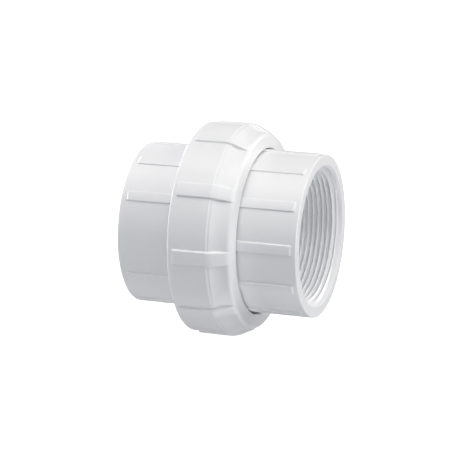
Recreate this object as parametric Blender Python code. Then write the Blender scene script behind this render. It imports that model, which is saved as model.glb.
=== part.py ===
"""Two-inch threaded pipe union in white PVC.

Four moulded or cut pieces: a threaded end with an outside thread, a flanged
tailpiece, the union nut that draws the flange against the threaded end, and
the O-ring that seals between the two faces.

The waterway runs along X and the tailpiece's mouth points to +X. +Z is up and
the origin is on the axis, halfway between the two mouths. Metres.

Angles are measured about +X, from +Y towards +Z.
"""

from math import ceil, cos, floor, pi, radians, sin, sqrt, tan

import bmesh
import bpy

MM = 0.001

# ---- overall -------------------------------------------------------------
HALF_LENGTH = 40.4 * MM         # mouth face to the middle of the fitting
BORE_R = 26.5 * MM              # plain waterway between the two threads
COLUMNS = 48                    # facets round a bore or a thread

# ---- hubs ------------------------------------------------------------------
HUB_R = 35.45 * MM
HUB_RIBS = 12
HUB_RIB_HEIGHT = 0.62 * MM
HUB_RIB_WIDTH = radians(7.0)
HUB_RIB_DRAFT = radians(0.3)
HUB_RIB_NOSE = 0.7 * MM         # length of the ramp at a rib's outer end
HUB_EDGE = 0.4 * MM             # broken outer edge of the mouth face
TAIL_RIB_PHASE = radians(26.25)
TAIL_RIB_START = 38.4 * MM
MALE_RIB_PHASE = radians(28.05)
MALE_RIB_START = 37.7 * MM      # distance from the middle
MALE_BLANK_RIB = 5              # this rib is left out: a blank panel

# ---- 2 in NPT inside thread, in both mouths -------------------------------
MOUTH_R = 30.8 * MM
NPT_PITCH = 25.4 / 11.5 * MM
NPT_MINOR_R = 28.28 * MM        # at the mouth face
NPT_MAJOR_R = 30.05 * MM
NPT_TAPER = 1.0 / 32.0          # on the radius
NPT_DEPTH = 21.4 * MM           # where the thread has run out
NPT_RUN_OUT = 2.6 * MM
NPT_RECESS = 1.8 * MM           # plain recess before the thread
NPT_RECESS_R = 30.45 * MM       # at its foot
STOP_DEPTH = 22.5 * MM          # foot of the step from the thread to the bore

# ---- union thread between the threaded end and the nut --------------------
LEAD = 25.4 / 6.0 * MM
UNION_PHASE = 0.4 * MM          # where a crest of the outside thread passes angle 0
MALE_CREST_R = 42.4 * MM
MALE_ROOT_R = 40.8 * MM
NUT_CREST_R = 41.3 * MM
NUT_ROOT_R = 42.9 * MM
UNION_RUN_OUT = 1.6 * MM

# ---- threaded end ----------------------------------------------------------
MALE_FACE = 3.4 * MM            # sealing face
MALE_THREAD = (-12.0 * MM, 2.6 * MM)
SHOULDER_FOOT = -16.8 * MM
SHOULDER_TOP = -12.8 * MM

# ---- flanged tailpiece -------------------------------------------------------
TAIL_FACE = 3.7 * MM
FLANGE_BACK = 8.6 * MM
FLANGE_R = 40.6 * MM
GROOVE_FLOOR = 7.0 * MM
GROOVE_INNER_R = 31.25 * MM
GROOVE_OUTER_R = 35.75 * MM

# ---- O-ring, as it sits squeezed in its groove -----------------------------
RING_X = 5.2 * MM
RING_R = 33.5 * MM
RING_HALF_WIDTH = 1.5 * MM      # along the axis
RING_HALF_HEIGHT = 1.95 * MM    # across the groove

# ---- union nut ---------------------------------------------------------------
NUT_REAR = -13.1 * MM
NUT_BODY_R = 46.15 * MM
NUT_REAR_EDGE = 0.5 * MM
NUT_BEVEL = (4.0 * MM, 4.75 * MM, 0.40 * MM)    # start, end, fall
NUT_STEP = 5.3 * MM             # where the level step after the bevel ends
COVE_SLOPE = radians(32.0)      # at the head of the cove
COVE_FOOT_SLOPE = radians(9.0)
COVE_HEAD = 6.4 * MM            # where the straight slope turns into the arc
COVE_FOOT = 11.4 * MM
LIP_START = 12.25 * MM
LIP_R = 1.9 * MM                # rounding of the front edge
LIP_FACE_SLOPE = radians(82.0)  # the front face is a shallow cone
NUT_FRONT = 14.4 * MM
NUT_OPENING_R = 36.45 * MM
NUT_SHOULDER = 8.9 * MM
NUT_RELIEF_R = 41.45 * MM
NUT_THREAD = (-11.9 * MM, 3.8 * MM)
NUT_RIBS = 10
NUT_RIB_PHASE = radians(2.3)
NUT_RIB_WIDTH = radians(7.95)
NUT_RIB_DRAFT = radians(0.4)
NUT_RIB_START = -10.8 * MM
NUT_RIB_HEIGHT = 0.80 * MM
CROWN_START = 4.3 * MM          # where the rib tops start to fall
CROWN_R = 10.0 * MM             # of the arc in the rib tops
CROWN_SLOPES = (radians(8.0), radians(26.0))    # at the start, and to the lip


class Shell:
    """A closed mesh built ring by ring; equal points share one vertex."""

    def __init__(self):
        self.mesh = bmesh.new()
        self.known = {}

    def vert(self, x, r, angle):
        p = (x, r * cos(angle), r * sin(angle))
        key = tuple(round(c * 1e8) for c in p)
        if key not in self.known:
            self.known[key] = self.mesh.verts.new(p)
        return self.known[key]

    def face(self, *verts):
        loop = []
        for v in verts:
            if v not in loop:
                loop.append(v)
        if len(loop) > 2 and self.mesh.faces.get(loop) is None:
            self.mesh.faces.new(loop)

    def ring(self, x, r, angles=None, tops=None, top_r=None):
        """One ring of vertices. Columns marked in tops stand at top_r."""
        if angles is None:
            angles = [2.0 * pi * i / COLUMNS for i in range(COLUMNS)]
        out = []
        for i, a in enumerate(angles):
            radius = top_r if tops is not None and tops[i] else r
            out.append((a % (2.0 * pi), self.vert(x, radius, a)))
        return out

    def band(self, first, second):
        """Quads between two rings with the same columns."""
        n = len(first)
        for i in range(n):
            j = (i + 1) % n
            self.face(first[i][1], first[j][1], second[j][1], second[i][1])

    def zip(self, first, second):
        """Triangles between two rings with different columns."""
        a = sorted(first, key=lambda c: c[0])
        b = sorted(second, key=lambda c: c[0])
        i = j = 0
        while i < len(a) or j < len(b):
            next_a = a[(i + 1) % len(a)][0] + (2.0 * pi if i + 1 >= len(a) else 0.0)
            next_b = b[(j + 1) % len(b)][0] + (2.0 * pi if j + 1 >= len(b) else 0.0)
            va, vb = a[i % len(a)][1], b[j % len(b)][1]
            if j >= len(b) or (i < len(a) and next_a <= next_b):
                self.face(va, a[(i + 1) % len(a)][1], vb)
                i += 1
            else:
                self.face(va, b[(j + 1) % len(b)][1], vb)
                j += 1

    def thread(self, start, end, lead, phase, form, radius):
        """A right-hand helical surface from start to end.

        form lists the corners of the thread's section in one lead, as
        (fraction of the lead, level); radius(level, x) gives their radius and
        is the same for every level at start and at end.
        """
        n = len(form)
        first = floor((start - phase) / lead) - 2
        last = ceil((end - phase) / lead) + 2
        rows = (last - first) * n
        snap = 0.05 * lead

        def corner(column, row):
            if column == COLUMNS:
                column, row = 0, min(row + n, rows - 1)
            fraction, level = form[row % n]
            angle = 2.0 * pi * column / COLUMNS
            x = phase + lead * (first + row // n + fraction + column / COLUMNS)
            if x < start + snap:
                x = start
            elif x > end - snap:
                x = end
            return self.vert(x, radius(level, x), angle)

        for column in range(COLUMNS):
            for row in range(rows - 1):
                self.face(corner(column, row), corner(column + 1, row),
                          corner(column + 1, row + 1), corner(column, row + 1))
        return self.ring(start, radius(0, start)), self.ring(end, radius(0, end))

    def finish(self, name, at, material, parent=None):
        """Turn the shell into an object whose origin is on the axis at x = at."""
        bm = self.mesh
        bmesh.ops.remove_doubles(bm, verts=bm.verts, dist=1e-7)
        bmesh.ops.triangulate(bm, faces=bm.faces)
        bmesh.ops.recalc_face_normals(bm, faces=bm.faces)
        bmesh.ops.translate(bm, verts=bm.verts, vec=(-at, 0.0, 0.0))
        mesh = bpy.data.meshes.new(name)
        bm.to_mesh(mesh)
        bm.free()
        mesh.shade_smooth()
        mesh.set_sharp_from_angle(angle=radians(25.0))
        mesh.materials.append(material)
        obj = bpy.data.objects.new(name, mesh)
        bpy.context.collection.objects.link(obj)
        obj.parent = parent
        obj.location = (at - (parent.location.x if parent else 0.0), 0.0, 0.0)
        return obj


def ribbed(count, phase, width, draft, between, blank=None):
    """Column angles of a ribbed ring, and which of them are on a rib's top."""
    angles, tops = [], []
    step = 2.0 * pi / count
    foot = width / 2.0
    for i in range(count):
        centre = phase + i * step
        for offset, top in ((-foot, False), (draft - foot, True),
                            (foot - draft, True), (foot, False)):
            angles.append(centre + offset)
            tops.append(top and i != blank)
        for k in range(between):
            angles.append(centre + foot + (step - width) * (k + 1) / (between + 1))
            tops.append(False)
    return angles, tops


def nut_profile():
    """Outside of the nut from the rear rim forwards, without its ribs: a
    cylinder, a fine bevel and step, a straight slope, a hollow arc, a level
    run and the rounded front edge. Returns (x, radius) points."""
    start, end, fall = NUT_BEVEL
    r = NUT_BODY_R
    points = [
        (NUT_REAR, r - NUT_REAR_EDGE),
        (NUT_REAR + 0.15 * MM, r - 0.15 * MM),
        (NUT_REAR + NUT_REAR_EDGE, r),
        (NUT_RIB_START, r),
        (start, r),
        (end, r - fall),
        (NUT_STEP, r - fall),
    ]
    x, r = NUT_STEP, r - fall
    r -= (COVE_HEAD - x) * tan(COVE_SLOPE)
    points.append((COVE_HEAD, r))
    bend = (COVE_FOOT - COVE_HEAD) / (sin(COVE_SLOPE) - sin(COVE_FOOT_SLOPE))
    for k in range(1, 4):
        slope = COVE_SLOPE + (COVE_FOOT_SLOPE - COVE_SLOPE) * k / 3
        points.append((COVE_HEAD + bend * (sin(COVE_SLOPE) - sin(slope)),
                       r + bend * (cos(COVE_SLOPE) - cos(slope))))
    r = points[-1][1] - (LIP_START - COVE_FOOT) * tan(COVE_FOOT_SLOPE)
    centre = (LIP_START - LIP_R * sin(COVE_FOOT_SLOPE), r - LIP_R * cos(COVE_FOOT_SLOPE))
    for k in range(4):
        slope = COVE_FOOT_SLOPE + (LIP_FACE_SLOPE - COVE_FOOT_SLOPE) * k / 3
        points.append((centre[0] + LIP_R * sin(slope), centre[1] + LIP_R * cos(slope)))
    return points


def crown_radius(x):
    """Radius of the nut's rib tops at x: level, an arc and a straight run."""
    head, steep = CROWN_SLOPES
    r = NUT_BODY_R + NUT_RIB_HEIGHT
    x = max(0.0, x - CROWN_START)
    run = CROWN_R * (sin(steep) - sin(head))
    if x <= run:
        return r - CROWN_R * (cos(head) - sqrt(1.0 - (sin(head) + x / CROWN_R) ** 2))
    return r - CROWN_R * (cos(head) - cos(steep)) - (x - run) * tan(steep)


def npt_radius(level, x):
    """Inside thread: level 0 is a crest and level 1 is a root."""
    depth = HALF_LENGTH - abs(x)
    crest = NPT_MINOR_R - NPT_TAPER * depth
    root = NPT_MAJOR_R - NPT_TAPER * depth
    height = min(1.0, max(0.0, (NPT_DEPTH - depth) / NPT_RUN_OUT))
    recess = NPT_RECESS_R - 2.0 * (depth - NPT_RECESS)
    return max(crest + (root - crest) * level * height, recess)


def male_radius(level, x):
    start, end = MALE_THREAD
    height = min(1.0, (x - start) / UNION_RUN_OUT, (end - x) / UNION_RUN_OUT)
    return MALE_ROOT_R + (MALE_CREST_R - MALE_ROOT_R) * level * max(0.0, height)


def nut_radius(level, x):
    start, end = NUT_THREAD
    r = NUT_ROOT_R + (NUT_CREST_R - NUT_ROOT_R) * level
    if x - start < UNION_RUN_OUT:
        r = NUT_ROOT_R + (r - NUT_ROOT_R) * (x - start) / UNION_RUN_OUT
    if end - x < UNION_RUN_OUT:
        r = NUT_RELIEF_R + (r - NUT_RELIEF_R) * (end - x) / UNION_RUN_OUT
    return r


def mouth(shell, side):
    """Threaded mouth on the side +1 or -1. Returns the rings at the bore and
    at the mouth's edge."""
    form = [(0.0, 0.0), (0.5, 1.0)]
    deep = side * (HALF_LENGTH - NPT_DEPTH)
    lead_in = side * (HALF_LENGTH - NPT_RECESS)
    phase = side * (HALF_LENGTH - 0.75 * NPT_PITCH)
    rings = shell.thread(min(deep, lead_in), max(deep, lead_in), NPT_PITCH,
                         phase, form, npt_radius)
    inner, outer = rings if side > 0 else rings[::-1]
    foot = shell.ring(side * (HALF_LENGTH - STOP_DEPTH), BORE_R)
    edge = shell.ring(side * HALF_LENGTH, MOUTH_R)
    shell.band(foot, inner)
    shell.band(outer, edge)
    return foot, edge


def hub_outside(shell, side, rib_start, angles, tops):
    """Rings from the mouth face over its broken edge and the ribs' noses."""
    k = HUB_EDGE * (1.0 - cos(radians(45.0)))
    return [
        shell.ring(side * HALF_LENGTH, HUB_R - HUB_EDGE, angles),
        shell.ring(side * (HALF_LENGTH - k), HUB_R - k, angles),
        shell.ring(side * (HALF_LENGTH - HUB_EDGE), HUB_R, angles),
        shell.ring(side * rib_start, HUB_R, angles),
        shell.ring(side * (rib_start - HUB_RIB_NOSE), HUB_R, angles, tops,
                   HUB_R + HUB_RIB_HEIGHT),
    ]


def principled(name, colour, roughness):
    material = bpy.data.materials.new(name)
    material.use_nodes = True
    shader = material.node_tree.nodes["Principled BSDF"]
    shader.inputs["Base Color"].default_value = (*colour, 1.0)
    shader.inputs["Roughness"].default_value = roughness
    shader.inputs["Metallic"].default_value = 0.0
    return material


def build_threaded_end(material):
    shell = Shell()
    angles, tops = ribbed(HUB_RIBS, MALE_RIB_PHASE, HUB_RIB_WIDTH, HUB_RIB_DRAFT, 2,
                          MALE_BLANK_RIB)
    rib_r = HUB_R + HUB_RIB_HEIGHT
    slope = (MALE_ROOT_R - 0.4 * MM - HUB_R) / (SHOULDER_TOP - SHOULDER_FOOT)
    rib_end = SHOULDER_FOOT + HUB_RIB_HEIGHT / slope

    outside = hub_outside(shell, -1, MALE_RIB_START, angles, tops)
    outside += [
        shell.ring(SHOULDER_FOOT, HUB_R, angles, tops, rib_r),
        shell.ring(rib_end, rib_r, angles),
        shell.ring(SHOULDER_TOP, MALE_ROOT_R - 0.4 * MM, angles),
    ]
    for first, second in zip(outside, outside[1:]):
        shell.band(first, second)

    form = [(-0.15, 1.0), (0.15, 1.0), (0.32, 0.0), (0.68, 0.0)]
    start, end = shell.thread(*MALE_THREAD, LEAD, UNION_PHASE, form, male_radius)
    shell.zip(outside[-1], start)

    face_outer = shell.ring(MALE_FACE, 40.0 * MM)
    face_inner = shell.ring(MALE_FACE, BORE_R + 0.4 * MM)
    bore = shell.ring(MALE_FACE - 0.4 * MM, BORE_R)
    shell.band(end, face_outer)
    shell.band(face_outer, face_inner)
    shell.band(face_inner, bore)

    foot, edge = mouth(shell, -1)
    shell.band(bore, foot)
    shell.zip(edge, outside[0])
    return shell.finish("threaded_end", -HALF_LENGTH, material)


def build_o_ring(material):
    shell = Shell()
    around = 12
    rings = []
    for i in range(around):
        t = 2.0 * pi * i / around
        rings.append(shell.ring(RING_X + RING_HALF_WIDTH * sin(t),
                                RING_R + RING_HALF_HEIGHT * cos(t)))
    for i in range(around):
        shell.band(rings[i], rings[(i + 1) % around])
    return shell.finish("o_ring", RING_X, material)


def build_tailpiece(material, carrier):
    shell = Shell()
    angles, tops = ribbed(HUB_RIBS, TAIL_RIB_PHASE, HUB_RIB_WIDTH, HUB_RIB_DRAFT, 2)
    outside = hub_outside(shell, 1, TAIL_RIB_START, angles, tops)
    outside.append(shell.ring(FLANGE_BACK, HUB_R, angles, tops,
                              HUB_R + HUB_RIB_HEIGHT))
    for first, second in zip(outside, outside[1:]):
        shell.band(first, second)

    profile = [
        (FLANGE_BACK, FLANGE_R - 0.4 * MM),
        (FLANGE_BACK - 0.4 * MM, FLANGE_R),
        (TAIL_FACE + 0.4 * MM, FLANGE_R),
        (TAIL_FACE, FLANGE_R - 0.4 * MM),
        (TAIL_FACE, GROOVE_OUTER_R),
        (GROOVE_FLOOR, GROOVE_OUTER_R),
        (GROOVE_FLOOR, GROOVE_INNER_R),
        (TAIL_FACE, GROOVE_INNER_R),
        (TAIL_FACE, BORE_R + 0.4 * MM),
        (TAIL_FACE + 0.4 * MM, BORE_R),
    ]
    rings = [shell.ring(x, r) for x, r in profile]
    shell.zip(outside[-1], rings[0])
    for first, second in zip(rings, rings[1:]):
        shell.band(first, second)

    foot, edge = mouth(shell, 1)
    shell.band(rings[-1], foot)
    shell.zip(edge, outside[0])
    return shell.finish("flanged_tailpiece", TAIL_FACE, material, carrier)


def build_nut(material, carrier):
    shell = Shell()
    angles, tops = ribbed(NUT_RIBS, NUT_RIB_PHASE, NUT_RIB_WIDTH, NUT_RIB_DRAFT, 3)
    outside = []
    for x, r in nut_profile():
        top = max(r, crown_radius(x)) if x >= NUT_RIB_START else r
        if x == NUT_RIB_START:
            outside.append(shell.ring(x, r, angles))
        outside.append(shell.ring(x, r, angles, tops, top))
    for first, second in zip(outside, outside[1:]):
        shell.band(first, second)

    opening = [
        (NUT_FRONT, NUT_OPENING_R + 0.2 * MM),
        (NUT_FRONT - 0.3 * MM, NUT_OPENING_R),
        (NUT_SHOULDER, NUT_OPENING_R),
        (NUT_SHOULDER, NUT_RELIEF_R),
    ]
    rings = [shell.ring(x, r) for x, r in opening]
    shell.zip(outside[-1], rings[0])
    for first, second in zip(rings, rings[1:]):
        shell.band(first, second)

    form = [(-0.18, 0.0), (0.18, 0.0), (0.35, 1.0), (0.65, 1.0)]
    start, end = shell.thread(*NUT_THREAD, LEAD, UNION_PHASE, form, nut_radius)
    shell.band(rings[-1], end)
    rear = shell.ring(NUT_REAR, NUT_ROOT_R + 0.6 * MM)
    shell.band(start, rear)
    shell.zip(rear, outside[0])
    return shell.finish("union_nut", NUT_SHOULDER, material, carrier)


def main():
    for obj in list(bpy.data.objects):
        bpy.data.objects.remove(obj, do_unlink=True)

    white = (0.83, 0.84, 0.845)
    build_threaded_end(principled("pvc_threaded_end", white, 0.34))
    ring = build_o_ring(principled("rubber_o_ring", (0.018, 0.018, 0.019), 0.55))
    build_tailpiece(principled("pvc_flanged_tailpiece", white, 0.34), ring)
    build_nut(principled("pvc_union_nut", white, 0.36), ring)


main()
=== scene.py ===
"""Looks of the threaded pipe union: fine surfaces, plastic and rubber, a plain
pale floor, soft studio light and the camera.

Lengths in the tables are millimetres and turn to metres where a mesh is made.
Angles go about +X, from +Y towards +Z.
"""

from math import atan2, ceil, cos, floor as whole, pi, radians, sin, sqrt, tan

import bmesh
import bpy
import numpy as np
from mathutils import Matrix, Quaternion, Vector


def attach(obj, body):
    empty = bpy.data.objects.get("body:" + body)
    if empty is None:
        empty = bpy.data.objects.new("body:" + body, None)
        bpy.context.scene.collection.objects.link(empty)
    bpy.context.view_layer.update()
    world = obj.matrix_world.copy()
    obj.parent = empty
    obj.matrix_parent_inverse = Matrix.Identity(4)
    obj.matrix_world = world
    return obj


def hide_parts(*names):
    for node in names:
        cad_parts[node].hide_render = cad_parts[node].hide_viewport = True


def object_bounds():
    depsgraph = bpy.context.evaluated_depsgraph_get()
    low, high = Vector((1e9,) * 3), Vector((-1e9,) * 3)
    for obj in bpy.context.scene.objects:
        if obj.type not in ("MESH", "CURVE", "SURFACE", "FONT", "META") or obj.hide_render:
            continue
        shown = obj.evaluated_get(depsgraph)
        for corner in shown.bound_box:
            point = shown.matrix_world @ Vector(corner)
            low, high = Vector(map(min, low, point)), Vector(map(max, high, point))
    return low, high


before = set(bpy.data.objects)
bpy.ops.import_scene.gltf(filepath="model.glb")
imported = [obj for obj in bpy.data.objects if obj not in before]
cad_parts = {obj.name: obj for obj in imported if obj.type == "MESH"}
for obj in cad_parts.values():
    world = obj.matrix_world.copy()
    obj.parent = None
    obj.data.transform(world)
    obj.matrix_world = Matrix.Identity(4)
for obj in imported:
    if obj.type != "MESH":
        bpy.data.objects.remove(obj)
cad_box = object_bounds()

MM = 0.001
TURN = 2.0 * pi

HALF_LENGTH = 40.4
BORE_R = 26.5
HUB_R = 35.45
HUB_RIBS = 12
HUB_RIB_HEIGHT = 0.6
TAIL_RIB_PHASE = radians(26.4)
TAIL_RIB_START = 38.45
MALE_RIB_PHASE = radians(28.1)
MALE_RIB_START = 37.75
MALE_BLANK_RIB = 5              # left out: a blank panel

MOUTH_R = 30.8
NPT_PITCH = 25.4 / 11.5
NPT_MINOR_R = 28.28
NPT_MAJOR_R = 30.05
NPT_DEPTH = 21.4
NPT_RUN_OUT = 2.6
NPT_RECESS = 1.8                # plain recess before the thread
NPT_RECESS_R = 30.45            # at its foot
STOP_DEPTH = 22.5

LEAD = 25.4 / 6.0
UNION_PHASE = 0.4
MALE_CREST_R = 42.4
MALE_ROOT_R = 40.8
NUT_CREST_R = 41.3
NUT_ROOT_R = 42.9
NUT_RELIEF_R = 41.45
UNION_RUN_OUT = 1.6
MALE_THREAD = (-12.0, 2.6)
NUT_THREAD = (-11.9, 3.8)

NUT_BODY_R = 46.10
NUT_CROWN_R = 46.93
NUT_RIB_PHASE = radians(2.25)
NUT_RIB_START = -10.8
CROWN_START = 4.3
CROWN_SLOPES = (radians(8.0), radians(26.0))
WALL_DRAFT = radians(18.0)      # of the nut's rib walls
NUT_OPENING_R = 36.45

FINE = 288                      # columns round a bore or a thread

LAMP_DISTANCE = 1.5             # metres
LAMP_SIZE = 0.9


# ---------------------------------------------------------------- outlines
def rounded(corners, steps=5, hold=0.06):
    """A polyline with its corners turned into arcs.

    corners is a list of (a, b, radius). Short straight pieces are kept beside
    each arc, so that the flats shade flat.
    """
    pts = [np.array(c[:2], float) for c in corners]
    out = []
    for i, corner in enumerate(corners):
        p, radius = pts[i], corner[2] if len(corner) > 2 else 0.0
        if i in (0, len(corners) - 1) or radius <= 0.0:
            out.append(tuple(p))
            continue
        u, v = pts[i - 1] - p, pts[i + 1] - p
        lu, lv = np.linalg.norm(u), np.linalg.norm(v)
        u, v = u / lu, v / lv
        half = 0.5 * np.arccos(np.clip(u @ v, -1.0, 1.0))
        if half > pi / 2 - 0.01:
            out.append(tuple(p))
            continue
        reach = min(radius / tan(half), 0.49 * lu, 0.49 * lv)
        r = reach * tan(half)
        centre = p + (u + v) / np.linalg.norm(u + v) * (r / sin(half))
        start, end = p + u * reach, p + v * reach
        if hold and lu - reach > 3 * hold:
            out.append(tuple(start + u * hold))
        a0 = atan2(*(start - centre)[::-1])
        sweep = atan2(*(end - centre)[::-1]) - a0
        sweep = (sweep + pi) % TURN - pi
        for k in range(steps + 1):
            a = a0 + sweep * k / steps
            out.append((centre[0] + r * cos(a), centre[1] + r * sin(a)))
        if hold and lv - reach > 3 * hold:
            out.append(tuple(end + v * hold))
    return out


def rib_section(foot, crown, height, fillet, edge):
    """Half a rib's cross-section as (distance from its middle, share of its
    height), from the surface beside it to its middle."""
    line = rounded([(foot + 3 * fillet, 0.0), (foot, 0.0, fillet),
                    (crown, height, edge), (0.0, height)], steps=4, hold=0.0)
    return [(t, h / height) for t, h in line]


def rib_columns(count, phase, radius, section, between, blank=None):
    """Column angles all the way round, each column's share of the rib height
    and the way a rib's wall spreads there. The rib numbered blank is flat."""
    angles, share, spread = [], [], []
    step = TURN / count
    reach = section[0][0] / radius
    for i in range(count):
        centre = phase + i * step
        full = 0.0 if i == blank else 1.0
        for side, line in ((-1.0, section), (1.0, section[-2::-1])):
            for t, h in line:
                angles.append(centre + side * t / radius)
                share.append(h * full)
                spread.append(side * (1.0 - h) * full)
        gap = step - 2 * reach
        for k in range(between):
            angles.append(centre + reach + gap * (k + 1) / (between + 1))
            share.append(0.0)
            spread.append(0.0)
    return np.array(angles), np.array(share), np.array(spread)


# ------------------------------------------------------------------ skins
class Skin:
    """Rings of points round the X axis, joined into one closed surface."""

    def __init__(self):
        self.points = []
        self.count = 0
        self.faces = []

    def add(self, x, r, angles):
        x = np.broadcast_to(x, angles.shape)
        r = np.broadcast_to(r, angles.shape)
        self.points.append(np.stack([x, r * np.cos(angles), r * np.sin(angles)], 1))
        index = np.arange(self.count, self.count + len(angles))
        self.count += len(angles)
        return index

    def ring(self, x, r, angles=None):
        if angles is None:
            angles = TURN * np.arange(FINE) / FINE
        return angles, self.add(x, r, angles)

    def band(self, first, second):
        a, b = first[1], second[1]
        n = len(a)
        for i in range(n):
            j = (i + 1) % n
            self.faces.append((a[i], a[j], b[j], b[i]))

    def bands(self, rings):
        for first, second in zip(rings, rings[1:]):
            self.band(first, second)

    def zip(self, first, second):
        a = sorted(zip(first[0] % TURN, first[1]))
        b = sorted(zip(second[0] % TURN, second[1]))
        i = j = 0
        while i < len(a) or j < len(b):
            next_a = a[(i + 1) % len(a)][0] + (TURN if i + 1 >= len(a) else 0.0)
            next_b = b[(j + 1) % len(b)][0] + (TURN if j + 1 >= len(b) else 0.0)
            va, vb = a[i % len(a)][1], b[j % len(b)][1]
            if j >= len(b) or (i < len(a) and next_a <= next_b):
                self.faces.append((va, a[(i + 1) % len(a)][1], vb))
                i += 1
            else:
                self.faces.append((va, b[(j + 1) % len(b)][1], vb))
                j += 1

    def thread(self, start, end, lead, phase, form, radius):
        """A right-hand helical surface between two plain rings."""
        n = len(form)
        first = whole((start - phase) / lead) - 2
        last = ceil((end - phase) / lead) + 2
        rows = (last - first) * n
        fraction = np.array([f[0] for f in form])
        level = np.tile(np.array([f[1] for f in form]), last - first)
        turns = np.repeat(np.arange(first, last), n) + np.tile(fraction, last - first)
        column = np.arange(FINE)
        x = phase + lead * (turns[None, :] + column[:, None] / FINE)
        snap = 0.012 * lead
        x = np.where(x < start + snap, start, x)
        x = np.where(x > end - snap, end, x)
        r = radius(level[None, :], x)
        angle = np.broadcast_to(TURN * column[:, None] / FINE, x.shape)
        base = self.count
        self.points.append(np.stack([x, r * np.cos(angle), r * np.sin(angle)], 2)
                           .reshape(-1, 3))
        self.count += x.size
        inside = (x > start) & (x < end)

        def at(c, k):
            if c == FINE:
                c, k = 0, min(k + n, rows - 1)
            return base + c * rows + k

        def live(c, k):
            if c == FINE:
                c, k = 0, min(k + n, rows - 1)
            return inside[c, k]

        for c in range(FINE):
            for k in range(rows - 1):
                if live(c, k) or live(c + 1, k) or live(c, k + 1) or live(c + 1, k + 1) \
                        or x[c, k] != x[c, k + 1]:
                    self.faces.append((at(c, k), at(c + 1, k), at(c + 1, k + 1), at(c, k + 1)))
        return (self.ring(start, radius(np.zeros(1), np.array([start]))[0]),
                self.ring(end, radius(np.zeros(1), np.array([end]))[0]))

    def finish(self, name, material, smooth=32.0):
        points = np.concatenate(self.points) * MM
        mesh = bpy.data.meshes.new(name)
        mesh.from_pydata(points.tolist(), [], [tuple(map(int, f)) for f in self.faces])
        bm = bmesh.new()
        bm.from_mesh(mesh)
        bmesh.ops.remove_doubles(bm, verts=bm.verts, dist=2e-7)
        bmesh.ops.delete(bm, geom=[v for v in bm.verts if not v.link_faces], context="VERTS")
        bmesh.ops.recalc_face_normals(bm, faces=bm.faces)
        bm.to_mesh(mesh)
        bm.free()
        mesh.shade_smooth()
        mesh.set_sharp_from_angle(angle=radians(smooth))
        mesh.materials.append(material)
        obj = bpy.data.objects.new(name, mesh)
        bpy.context.collection.objects.link(obj)
        return obj


# ------------------------------------------------------------ thread forms
def npt_form():
    """Rows of one pitch of the pipe thread: fraction and level, 0 at a crest
    and 1 at a root, with small rounds at both."""
    rows = []
    for d in (0.0, 0.028, 0.056, 0.09, 0.2, 0.31, 0.42, 0.45, 0.475, 0.5):
        rows.append((d, npt_level(d)))
    for d in (0.475, 0.45, 0.42, 0.31, 0.2, 0.09, 0.056, 0.028):
        rows.append((1.0 - d, npt_level(d)))
    return rows


def npt_level(d):
    """Level at a distance d from a crest's middle, as a share of the pitch."""
    flat, soft = 0.028, 0.03
    t = (d - flat) / (0.5 - 2 * flat)
    t = min(1.0, max(0.0, t))
    if t < soft:
        return t * t / (2 * soft) / (1 - soft)
    if t > 1 - soft:
        return 1 - (1 - t) ** 2 / (2 * soft) / (1 - soft)
    return (t - soft / 2) / (1 - soft)


def npt_radius(level, x):
    depth = HALF_LENGTH - np.abs(x)
    crest = NPT_MINOR_R - depth / 32.0
    root = NPT_MAJOR_R - depth / 32.0
    height = np.clip((NPT_DEPTH - depth) / NPT_RUN_OUT, 0.0, 1.0)
    recess = NPT_RECESS_R - 2.5 * (depth - NPT_RECESS)
    return np.maximum(crest + (root - crest) * level * height, recess)


def male_radius(level, x):
    start, end = MALE_THREAD
    height = np.clip(np.minimum((x - start), (end - x)) / UNION_RUN_OUT, 0.0, 1.0)
    return MALE_ROOT_R + (MALE_CREST_R - MALE_ROOT_R) * level * height


def nut_radius(level, x):
    start, end = NUT_THREAD
    r = NUT_ROOT_R + (NUT_CREST_R - NUT_ROOT_R) * level
    r = NUT_ROOT_R + (r - NUT_ROOT_R) * np.clip((x - start) / UNION_RUN_OUT, 0.0, 1.0)
    return NUT_RELIEF_R + (r - NUT_RELIEF_R) * np.clip((end - x) / UNION_RUN_OUT, 0.0, 1.0)


def union_form(flats):
    """Rows of the union thread's trapezium with softened corners."""
    a, b, c, d = flats
    rows = [(a, 1.0), (b, 1.0), (c, 0.0), (d, 0.0)]
    out = []
    for i, (f, level) in enumerate(rows):
        before, after = rows[i - 1], rows[(i + 1) % 4]
        fb = before[0] - (1.0 if i == 0 else 0.0)
        fa = after[0] + (1.0 if i == 3 else 0.0)
        for side, other, other_level in ((-1, fb, before[1]), (1, fa, after[1])):
            if other_level != level:
                near = (f + 0.045 * side, level + (other_level - level) * 0.045 / abs(other - f))
                corner = (f + 0.012 * side, level + (other_level - level) * 0.004 / abs(other - f))
                out += [near, corner] if side < 0 else [corner, near]
            else:
                out.append((f + 0.03 * side, level))
    return sorted(out)


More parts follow.
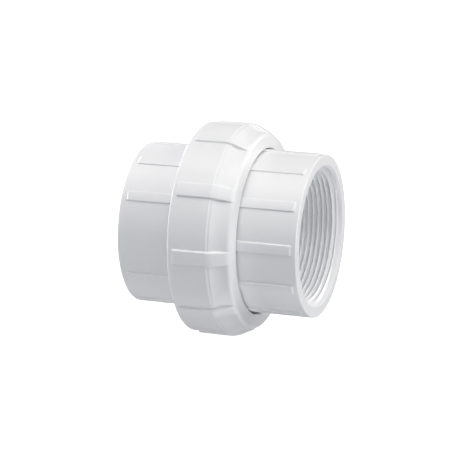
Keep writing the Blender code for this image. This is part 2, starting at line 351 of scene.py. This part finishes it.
# --------------------------------------------------------------- materials
def pvc(name, seed, tint=(0.0, 0.0, 0.0), rough=0.30):
    """White moulded PVC: faint flow marks in the colour and the gloss, and a
    fine satin skin with shallow sink."""
    material = bpy.data.materials.new(name)
    material.use_nodes = True
    nodes, links = material.node_tree.nodes, material.node_tree.links
    shader = nodes["Principled BSDF"]
    coord = nodes.new("ShaderNodeTexCoord")
    place = nodes.new("ShaderNodeMapping")
    place.inputs["Location"].default_value = (0.13 * seed, 0.07 * seed, 0.19 * seed)
    place.inputs["Scale"].default_value = (1.0, 1.0, 1.0)
    links.new(coord.outputs["Object"], place.inputs["Vector"])

    flow = nodes.new("ShaderNodeTexNoise")
    flow.inputs["Scale"].default_value = 38.0
    flow.inputs["Detail"].default_value = 4.0
    flow.inputs["Roughness"].default_value = 0.55
    flow.inputs["Distortion"].default_value = 0.4
    links.new(place.outputs["Vector"], flow.inputs["Vector"])
    colour = nodes.new("ShaderNodeValToRGB")
    ramp = colour.color_ramp
    ramp.elements[0].position, ramp.elements[1].position = 0.3, 0.72
    ramp.elements[0].color = (0.822 + tint[0], 0.829 + tint[1], 0.839 + tint[2], 1.0)
    ramp.elements[1].color = (0.840 + tint[0], 0.847 + tint[1], 0.857 + tint[2], 1.0)
    links.new(flow.outputs["Fac"], colour.inputs["Fac"])
    links.new(colour.outputs["Color"], shader.inputs["Base Color"])

    gloss = nodes.new("ShaderNodeMapRange")
    gloss.inputs["From Min"].default_value, gloss.inputs["From Max"].default_value = 0.25, 0.75
    gloss.inputs["To Min"].default_value = rough - 0.02
    gloss.inputs["To Max"].default_value = rough + 0.035
    links.new(flow.outputs["Fac"], gloss.inputs["Value"])
    links.new(gloss.outputs["Result"], shader.inputs["Roughness"])

    skin = nodes.new("ShaderNodeTexNoise")
    skin.inputs["Scale"].default_value = 3200.0
    skin.inputs["Detail"].default_value = 3.0
    links.new(place.outputs["Vector"], skin.inputs["Vector"])
    sink = nodes.new("ShaderNodeTexNoise")
    sink.inputs["Scale"].default_value = 95.0
    sink.inputs["Detail"].default_value = 1.0
    links.new(place.outputs["Vector"], sink.inputs["Vector"])
    wide = nodes.new("ShaderNodeBump")
    wide.inputs["Strength"].default_value = 0.25
    wide.inputs["Distance"].default_value = 0.00012
    links.new(sink.outputs["Fac"], wide.inputs["Height"])
    fine = nodes.new("ShaderNodeBump")
    fine.inputs["Strength"].default_value = 0.12
    fine.inputs["Distance"].default_value = 0.00003
    links.new(skin.outputs["Fac"], fine.inputs["Height"])
    links.new(wide.outputs["Normal"], fine.inputs["Normal"])
    links.new(fine.outputs["Normal"], shader.inputs["Normal"])

    shader.inputs["Metallic"].default_value = 0.0
    shader.inputs["IOR"].default_value = 1.53
    shader.inputs["Subsurface Weight"].default_value = 0.25
    shader.inputs["Subsurface Radius"].default_value = (1.0, 1.0, 1.0)
    shader.inputs["Subsurface Scale"].default_value = 0.0012
    return material


def rubber(name):
    """Black moulded rubber with a dusty bloom and a fine grain."""
    material = bpy.data.materials.new(name)
    material.use_nodes = True
    nodes, links = material.node_tree.nodes, material.node_tree.links
    shader = nodes["Principled BSDF"]
    coord = nodes.new("ShaderNodeTexCoord")
    bloom = nodes.new("ShaderNodeTexNoise")
    bloom.inputs["Scale"].default_value = 160.0
    bloom.inputs["Detail"].default_value = 5.0
    links.new(coord.outputs["Object"], bloom.inputs["Vector"])
    colour = nodes.new("ShaderNodeValToRGB")
    colour.color_ramp.elements[0].position = 0.35
    colour.color_ramp.elements[0].color = (0.012, 0.012, 0.013, 1.0)
    colour.color_ramp.elements[1].position = 0.8
    colour.color_ramp.elements[1].color = (0.035, 0.035, 0.036, 1.0)
    links.new(bloom.outputs["Fac"], colour.inputs["Fac"])
    links.new(colour.outputs["Color"], shader.inputs["Base Color"])
    rough = nodes.new("ShaderNodeMapRange")
    rough.inputs["To Min"].default_value, rough.inputs["To Max"].default_value = 0.38, 0.62
    links.new(bloom.outputs["Fac"], rough.inputs["Value"])
    links.new(rough.outputs["Result"], shader.inputs["Roughness"])
    grain = nodes.new("ShaderNodeTexNoise")
    grain.inputs["Scale"].default_value = 5200.0
    links.new(coord.outputs["Object"], grain.inputs["Vector"])
    bump = nodes.new("ShaderNodeBump")
    bump.inputs["Strength"].default_value = 0.25
    bump.inputs["Distance"].default_value = 0.00003
    links.new(grain.outputs["Fac"], bump.inputs["Height"])
    links.new(bump.outputs["Normal"], shader.inputs["Normal"])
    return material


# ------------------------------------------------------------------- hubs
def mouth(skin, side):
    """The threaded mouth; returns its foot in the bore and its flat's edge."""
    deep = side * (HALF_LENGTH - NPT_DEPTH)
    lead_in = side * (HALF_LENGTH - NPT_RECESS)
    phase = side * (HALF_LENGTH - 0.75 * NPT_PITCH)
    rings = skin.thread(min(deep, lead_in), max(deep, lead_in), NPT_PITCH,
                        phase, npt_form(), npt_radius)
    inner, outer = rings if side > 0 else rings[::-1]
    crest = NPT_MINOR_R - NPT_DEPTH / 32.0
    step = rounded([(HALF_LENGTH - NPT_DEPTH, crest), (HALF_LENGTH - NPT_DEPTH - 0.1, crest, 0.0),
                    (HALF_LENGTH - STOP_DEPTH + 0.1, BORE_R, 0.6), (HALF_LENGTH - 25.0, BORE_R)])
    foot = [skin.ring(side * x, r) for x, r in step[1:]]
    skin.band(inner, foot[0])
    skin.bands(foot)
    lip = rounded([(HALF_LENGTH - NPT_RECESS, NPT_RECESS_R), (HALF_LENGTH, MOUTH_R, 0.15),
                   (HALF_LENGTH, MOUTH_R + 1.0)], steps=4)
    edge = [skin.ring(side * x, r) for x, r in lip[1:-1]]
    skin.band(outer, edge[0])
    skin.bands(edge)
    return foot[-1], edge[-1]


def hub_outside(skin, side, phase, rib_start, tail, section, blank=None):
    """Rings of the hub's ribbed outside, from the mouth face inwards.

    tail lists (x, radius without ribs, share of the rib's height left)."""
    angles, share, _ = rib_columns(HUB_RIBS, phase, HUB_R, section, 9, blank)
    rim = rounded([(HALF_LENGTH, HUB_R - 1.4), (HALF_LENGTH, HUB_R, 0.42),
                   (HALF_LENGTH - 1.6, HUB_R)], steps=6)
    rings = [skin.ring(side * x, r, angles) for x, r in rim]
    nose = rounded([(rib_start + 0.35, 0.0), (rib_start, 0.0, 0.3),
                    (rib_start - 0.75, HUB_RIB_HEIGHT, 0.6),
                    (rib_start - 1.6, HUB_RIB_HEIGHT)], steps=5, hold=0.0)
    for x, h in nose:
        rings.append(skin.ring(side * x, HUB_R + h * share, angles))
    for x, r, left in tail:
        rings.append(skin.ring(side * x, r + HUB_RIB_HEIGHT * left * share, angles))
    skin.bands(rings)
    return rings[0], rings[-1]


def hub_section():
    return rib_section(2.19, 2.02, HUB_RIB_HEIGHT, 0.22, 0.26)


def make_tailpiece():
    skin = Skin()
    stretch = [(x, HUB_R, 1.0) for x in np.linspace(34.0, 8.9, 9)]
    face_edge, flange_root = hub_outside(skin, 1, TAIL_RIB_PHASE, TAIL_RIB_START,
                                         stretch + [(8.6, HUB_R, 1.0)], hub_section())
    outline = rounded([
        (8.6, 37.0), (8.6, 40.6, 0.4), (3.7, 40.6, 0.4), (3.7, 35.75, 0.2),
        (7.0, 35.75, 0.35), (7.0, 31.25, 0.35), (3.7, 31.25, 0.2),
        (3.7, 26.5, 0.4), (15.0, 26.5)], steps=5)
    rings = [skin.ring(x, r) for x, r in outline]
    skin.zip(flange_root, rings[0])
    skin.bands(rings)
    foot, lip = mouth(skin, 1)
    skin.band(rings[-1], foot)
    skin.zip(lip, face_edge)
    return skin.finish("tailpiece_moulding", pvc("pvc_tailpiece", 1))


def make_threaded_end():
    skin = Skin()
    blend = []
    for x in (34.5, 31.0, 27.5, 24.0, 20.5, 18.3):
        blend.append((x, HUB_R, 1.0))
    cone = rounded([(20.0, HUB_R), (16.8, HUB_R, 1.6), (12.8, 40.4, 0.6), (12.0, 40.4)], steps=6)
    for x, r in cone[1:]:
        blend.append((x, r, max(0.0, min(1.0, 1.0 - (r - HUB_R) / HUB_RIB_HEIGHT))))
    face_edge, neck = hub_outside(skin, -1, MALE_RIB_PHASE, MALE_RIB_START, blend,
                                  hub_section(), MALE_BLANK_RIB)
    start, end = skin.thread(*MALE_THREAD, LEAD, UNION_PHASE,
                             union_form((-0.15, 0.15, 0.32, 0.68)), male_radius)
    skin.zip(neck, start)
    outline = rounded([(2.6, 40.8), (2.95, 40.6, 0.2), (3.4, 40.0, 0.3), (3.4, 26.5, 0.4),
                       (-15.0, 26.5)], steps=5)
    rings = [skin.ring(x, r) for x, r in outline[1:]]
    skin.band(end, rings[0])
    skin.bands(rings)
    foot, lip = mouth(skin, -1)
    skin.band(rings[-1], foot)
    skin.zip(lip, face_edge)
    return skin.finish("threaded_end_moulding", pvc("pvc_threaded_end", 2))


# -------------------------------------------------------------------- nut
def arc(x0, r0, tilt0, tilt1, radius, steps, hollow=False):
    """Points of an arc that starts at (x0, r0) falling at tilt0 and ends
    falling at tilt1, swelling outwards or hollow."""
    turn = -1.0 if hollow else 1.0
    cx, cr = x0 - turn * radius * sin(tilt0), r0 - turn * radius * cos(tilt0)
    out = []
    for k in range(steps + 1):
        t = tilt0 + (tilt1 - tilt0) * k / steps
        out.append((cx + turn * radius * sin(t), cr + turn * radius * cos(t)))
    return out


def nut_body():
    """Outside of the nut between its ribs: a cylinder, a fine bevel and step,
    a straight slope, a hollow arc, a level run and the start of the lip."""
    line = rounded([(-12.0, NUT_BODY_R), (4.05, NUT_BODY_R, 0.25), (4.7, NUT_BODY_R - 0.40, 0.2),
                    (5.35, NUT_BODY_R - 0.45, 0.35), (6.6, NUT_BODY_R - 0.45 - 1.25 * tan(radians(31.0)))],
                   steps=3, hold=0.0)
    x, r = line[-1]
    bend = 4.9 / (sin(radians(31.0)) - sin(radians(9.0)))
    line += arc(x, r, radians(31.0), radians(9.0), bend, 7, True)[1:]
    x, r = line[-1]
    line.append((12.25, r - (12.25 - x) * tan(radians(9.0))))
    return line


def nut_crown():
    """Tops of the nut's ribs: level, a swelling arc and a straight run to the
    lip."""
    top = NUT_CROWN_R
    head, steep = CROWN_SLOPES
    line = [(-12.0, top), (4.15, top)]
    line += arc(CROWN_START, top - 0.03, head, steep, 10.0, 6)
    x, r = line[-1]
    return line + [(12.6, r - (12.6 - x) * tan(steep))]


def make_nut():
    skin = Skin()
    body, crown = nut_body(), nut_crown()
    start = NUT_RIB_START
    nose = rounded([(start - 0.4, 0.0), (start, 0.0, 0.14), (start + 0.1, 1.0, 0.3),
                    (start + 1.4, 1.0)], steps=4, hold=0.0)
    bx, br = np.array(body).T
    cx, cr = np.array(crown).T
    nx, nh = np.array(nose).T
    end = body[-1][0]
    xs = sorted({round(float(v), 5) for v in list(bx) + list(cx) + list(nx)
                 + list(np.linspace(-9.0, 3.4, 6)) if v < end - 0.03})
    keep = [xs[0]]
    for v in xs[1:]:
        if v - keep[-1] > 0.02:
            keep.append(v)
    keep.append(end)
    height = NUT_CROWN_R - NUT_BODY_R
    section = rib_section(3.16, 3.16 - height * tan(WALL_DRAFT), height, 0.24, 0.28)
    angles, share, spread = rib_columns(10, NUT_RIB_PHASE, NUT_BODY_R, section, 14)

    def spaced(r, lift):
        return angles + spread * max(0.0, lift - height) * tan(WALL_DRAFT) / r

    rear = rounded([(-13.1, 44.0), (-13.1, NUT_BODY_R, 0.45), (-12.4, NUT_BODY_R)], steps=6)
    rings = [skin.ring(x, r, angles) for x, r in rear if x < -12.42]
    for x in keep:
        b = np.interp(x, bx, br)
        lift = max(0.0, np.interp(x, cx, cr) - b) * np.interp(x, nx, nh, left=0.0, right=1.0)
        rings.append(skin.ring(x, b + lift * share, spaced(b, lift)))

    low = arc(*body[-1], radians(9.0), radians(82.0), 1.9, 10)
    foot = low[-1]
    lift = np.interp(end, cx, cr) - body[-1][1]
    for k, (x, r) in enumerate(low[1:], 1):
        left = lift * (1.0 - k / 10.0) ** 2
        rings.append(skin.ring(x, r + left * share, spaced(r, left)))
    skin.bands(rings)
    inner = rounded([foot, (14.4, NUT_OPENING_R, 0.35), (8.9, NUT_OPENING_R, 0.25), (8.9, 41.45, 0.4),
                     (4.0, 41.45)], steps=5)
    inside = [skin.ring(x, r) for x, r in inner[1:]]
    face = skin.ring(foot[0] + 0.02, foot[1] - 0.15, angles)
    skin.band(rings[-1], face)
    skin.zip(face, inside[0])
    skin.bands(inside)
    begin, finish = skin.thread(*NUT_THREAD, LEAD, UNION_PHASE,
                                union_form((0.35, 0.65, 0.82, 1.18)), nut_radius)
    skin.band(inside[-1], finish)
    back = rounded([(-11.9, 42.9), (-13.1, 43.5, 0.2), (-13.1, 43.95)], steps=4)
    mouth_rings = [skin.ring(x, r) for x, r in back[1:]]
    skin.band(begin, mouth_rings[0])
    skin.bands(mouth_rings)
    skin.zip(mouth_rings[-1], rings[0])
    return skin.finish("union_nut_moulding", pvc("pvc_nut", 3))


# ----------------------------------------------------------------- o-ring
def make_o_ring():
    skin = Skin()
    around = 40
    rings = []
    for i in range(around):
        t = TURN * i / around
        flash = 0.03 * (np.exp(-(sin(t) / 0.05) ** 2))
        rings.append(skin.ring(5.2 + 1.5 * sin(t), 33.5 + (1.95 + flash - 0.03) * cos(t)))
    skin.bands(rings + rings[:1])
    return skin.finish("seal_ring", rubber("seal_rubber"))


tailpiece = make_tailpiece()
threaded_end = make_threaded_end()
nut = make_nut()
ring = make_o_ring()

for piece, node, body, slot in (
        (threaded_end, "threaded_end", "threaded_end", "pvc_threaded_end"),
        (tailpiece, "flanged_tailpiece", "tailpiece", "pvc_tailpiece"),
        (nut, "union_nut", "nut", "pvc_nut"),
        (ring, "o_ring", "seal", "seal_rubber")):
    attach(piece, body)
    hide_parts(node)


# ------------------------------------------------------------------ stage
def make_floor():
    bm = bmesh.new()
    bmesh.ops.create_circle(bm, cap_ends=True, segments=96, radius=12.0)
    mesh = bpy.data.meshes.new("floor")
    bm.to_mesh(mesh)
    bm.free()
    obj = bpy.data.objects.new("floor", mesh)
    obj.location = (0.0, 0.0, cad_box[0].z - 0.00002)
    bpy.context.collection.objects.link(obj)
    material = bpy.data.materials.new("floor_pale")
    material.use_nodes = True
    shader = material.node_tree.nodes["Principled BSDF"]
    shader.inputs["Base Color"].default_value = (0.6, 0.6, 0.6, 1.0)
    shader.inputs["Roughness"].default_value = 0.9
    shader.inputs["Specular IOR Level"].default_value = 0.0
    shader.inputs["Emission Color"].default_value = (1.0, 1.0, 1.0, 1.0)
    shader.inputs["Emission Strength"].default_value = 0.8
    mesh.materials.append(material)
    obj.visible_diffuse = False
    obj.visible_glossy = False
    obj.visible_shadow = False
    return obj


def lamp(name, elevation, azimuth, watts, colour=(1.0, 1.0, 1.0)):
    """A round soft lamp aimed at the fitting. Azimuth 0 is the -Y side."""
    e, a = radians(elevation), radians(azimuth)
    away = Vector((sin(a) * cos(e), -cos(a) * cos(e), sin(e)))
    data = bpy.data.lights.new(name, "AREA")
    data.shape = "DISK"
    data.size = LAMP_SIZE
    data.energy = watts
    data.color = colour
    obj = bpy.data.objects.new(name, data)
    obj.location = away * LAMP_DISTANCE
    obj.rotation_mode = "QUATERNION"
    obj.rotation_quaternion = away.to_track_quat("Z", "Y")
    obj.visible_camera = False
    bpy.context.collection.objects.link(obj)


def make_lamps():
    """A white tent: elevation, azimuth, watts and a faint tint of each lamp."""
    for i, (elevation, azimuth, watts, colour) in enumerate((
            (80, 0, 5.8, (1.00, 0.96, 0.90)),
            (58, 45, 2.4, (0.89, 0.93, 1.00)),
            (58, 90, 0.9, (1.00, 1.00, 1.00)),
            (58, 270, 3.2, (1.00, 0.96, 0.93)),
            (58, 315, 1.9, (1.00, 0.96, 0.99)),
            (35, 0, 2.6, (0.94, 0.98, 1.00)),
            (35, 45, 0.9, (1.00, 1.00, 1.00)),
            (35, 90, 8.6, (1.00, 0.99, 0.95)),
            (12, 0, 1.0, (0.96, 0.99, 1.00)),
            (12, 45, 2.2, (0.98, 0.93, 1.00)),
            (12, 135, 8.9, (1.00, 0.98, 0.98)),
            (12, 225, 17.6, (0.89, 0.90, 1.00)),
            (12, 315, 0.8, (0.78, 0.89, 1.00)),
            (-30, 30, 1.4, (1.00, 1.00, 1.00)),
            (-30, 270, 2.5, (1.00, 0.99, 0.96)),
            (-30, 330, 1.3, (0.91, 0.91, 1.00)),
            (-75, 0, 4.6, (0.97, 0.97, 1.00)),
            (-10, 285, 2.1, (0.84, 0.86, 1.00)),
            (0, 255, 32.8, (1.00, 0.96, 0.98)),
            (0, 60, 0.5, (1.00, 1.00, 1.00)),
            (-50, 90, 7.4, (0.94, 0.95, 1.00)))):
        lamp("lamp_%02d" % i, elevation, azimuth, watts, colour)


def make_world():
    world = bpy.data.worlds.new("studio")
    world.use_nodes = True
    background = world.node_tree.nodes["Background"]
    background.inputs["Color"].default_value = (1.000, 1.000, 1.000, 1.0)
    background.inputs["Strength"].default_value = 0.106
    bpy.context.scene.world = world


def make_camera():
    a, e, roll = radians(20.3), radians(14.45), radians(-0.2)
    right = Vector((cos(a), sin(a), 0.0))
    back = Vector((sin(a) * cos(e), -cos(a) * cos(e), sin(e)))
    up = back.cross(right)
    data = bpy.data.cameras.new("camera")
    data.sensor_width = 36.0
    data.lens = 161.38
    data.clip_start, data.clip_end = 0.05, 20.0
    camera = bpy.data.objects.new("camera", data)
    camera.location = (Vector((0.0404, 0.0, 0.0)) - right * 0.04037 + up * 0.003714
                       + back * 0.88326)
    camera.rotation_mode = "QUATERNION"
    camera.rotation_quaternion = (back.to_track_quat("Z", "Y")
                                  @ Quaternion((0.0, 0.0, 1.0), roll))
    bpy.context.collection.objects.link(camera)
    bpy.context.scene.camera = camera


make_floor()
make_world()
make_lamps()
make_camera()
bpy.context.scene.view_settings.view_transform = "Standard"
